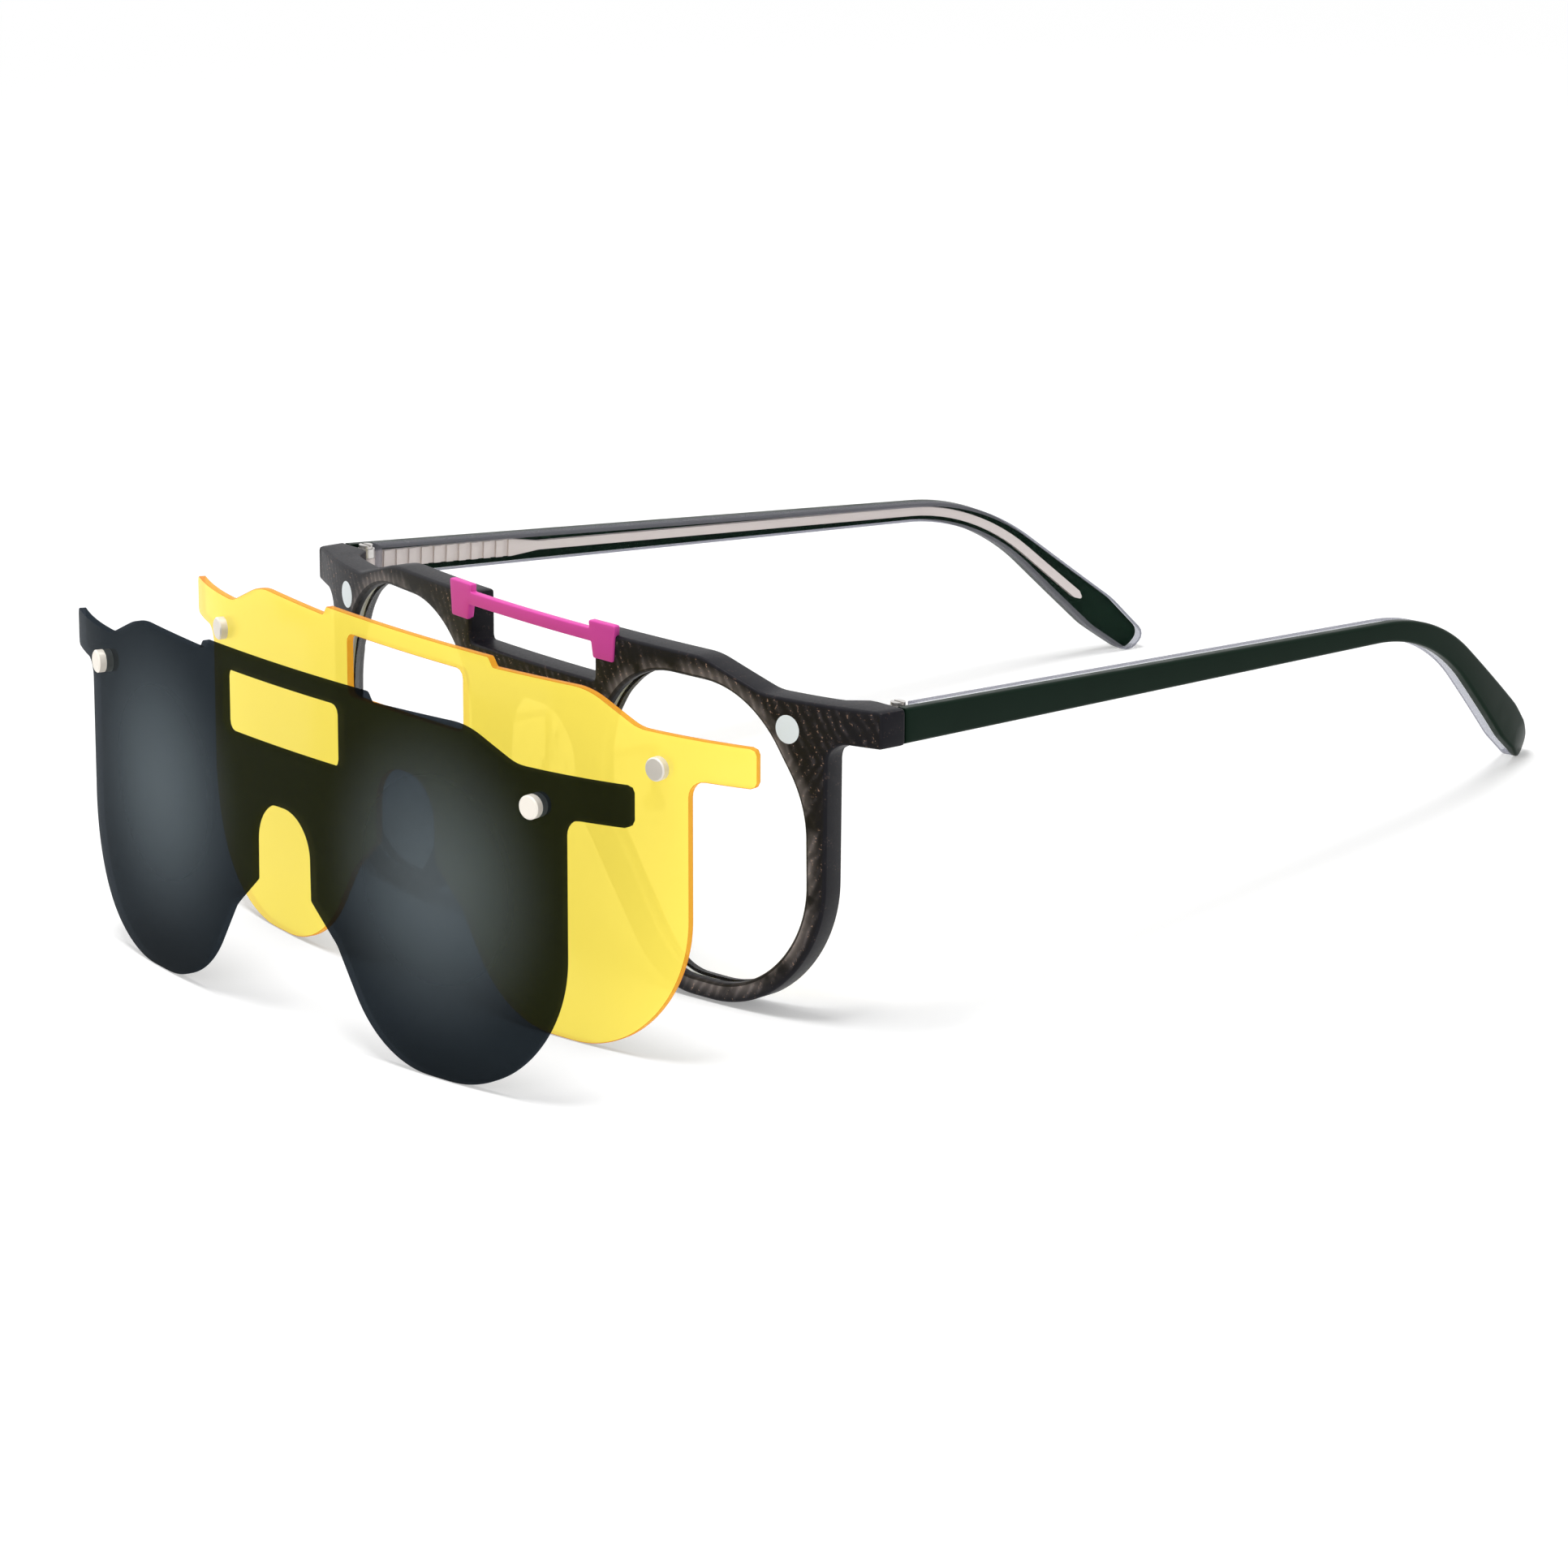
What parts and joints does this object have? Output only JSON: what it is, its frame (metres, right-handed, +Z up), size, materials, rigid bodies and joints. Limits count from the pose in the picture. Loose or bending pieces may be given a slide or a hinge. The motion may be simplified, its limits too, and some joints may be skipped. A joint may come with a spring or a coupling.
{
  "type": "clip-on eyeglasses",
  "caption": "Eyeglasses with folding temples, rocking nose pads and a brow bar, and two magnetic clip-on shields, yellow and dark, that stack on the front.",
  "frame": {"origin": "middle of the box round the set as laid out, on the surface it stands on", "axes": "+X towards the wearer's left, +Y back along the temples, +Z up; the clips are laid out in front of the frame, towards -Y"},
  "size_m": [0.1406, 0.2077, 0.0539],
  "materials": {
    "acetate_speckled": "satin, dark with fine tan streaks",
    "bar_pink": "satin magenta paint",
    "lens_clear": "clear, polished",
    "magnet": "bright nickel plate",
    "hinge_metal": "nickel, satin",
    "pad_clear": "clear soft plastic",
    "acetate_green": "polished, very dark green",
    "acetate_clear": "clear, polished",
    "core_metal": "satin, grooved shank",
    "clip_yellow": "transparent yellow with orange cut edges",
    "clip_dark": "transparent smoke grey, polished"
  },
  "bodies": {
    "frame": {"frame_front": "acetate_speckled", "brow_bar": "bar_pink", "lens_left": "lens_clear", "lens_right": "lens_clear", "frame_magnet_left": "magnet", "frame_magnet_right": "magnet", "hinge_leaf_left": "hinge_metal", "hinge_leaf_right": "hinge_metal", "hinge_screw_left": "hinge_metal", "hinge_screw_right": "hinge_metal", "pad_arm_left": "hinge_metal", "pad_arm_right": "hinge_metal", "pad_screw_left": "hinge_metal", "pad_screw_right": "hinge_metal"},
    "left_temple": {"temple_outer_left": "acetate_green", "temple_lining_left": "acetate_clear", "temple_core_left": "core_metal"},
    "right_temple": {"temple_outer_right": "acetate_green", "temple_lining_right": "acetate_clear", "temple_core_right": "core_metal"},
    "left_pad": {"nose_pad_left": "pad_clear"},
    "right_pad": {"nose_pad_right": "pad_clear"},
    "yellow_clip": {"yellow_clip_sheet": "clip_yellow", "yellow_clip_magnet_left": "magnet", "yellow_clip_magnet_right": "magnet"},
    "dark_clip": {"dark_clip_sheet": "clip_dark", "dark_clip_magnet_left": "magnet", "dark_clip_magnet_right": "magnet"}
  },
  "joints": [
    {"name": "left_temple_fold", "type": "hinge", "parent": "frame", "child": "left_temple", "pos_m": [0.066, -0.03942, 0.04392], "axis": [0, 0.0872, 0.9962], "range_deg": [0, 82]},
    {"name": "right_temple_fold", "type": "hinge", "parent": "frame", "child": "right_temple", "pos_m": [-0.066, -0.03942, 0.04392], "axis": [0, -0.0872, -0.9962], "range_deg": [0, 62]},
    {"name": "left_pad_rock", "type": "hinge", "parent": "frame", "child": "left_pad", "pos_m": [0.01303, -0.04401, 0.02204], "axis": [0.4695, 0.8796, -0.077], "range_deg": [-8, 8]},
    {"name": "right_pad_rock", "type": "hinge", "parent": "frame", "child": "right_pad", "pos_m": [-0.01303, -0.04401, 0.02204], "axis": [-0.4695, 0.8796, -0.077], "range_deg": [-8, 8]},
    {"name": "yellow_clip_on", "type": "slide", "parent": "frame", "child": "yellow_clip", "axis": [0, 1, 0.009], "range_m": [0, 0.02095]},
    {"name": "dark_clip_on", "type": "slide", "parent": "yellow_clip", "child": "dark_clip", "axis": [0, 0.9999, 0.0158], "range_m": [0, 0.01872]}
  ]
}
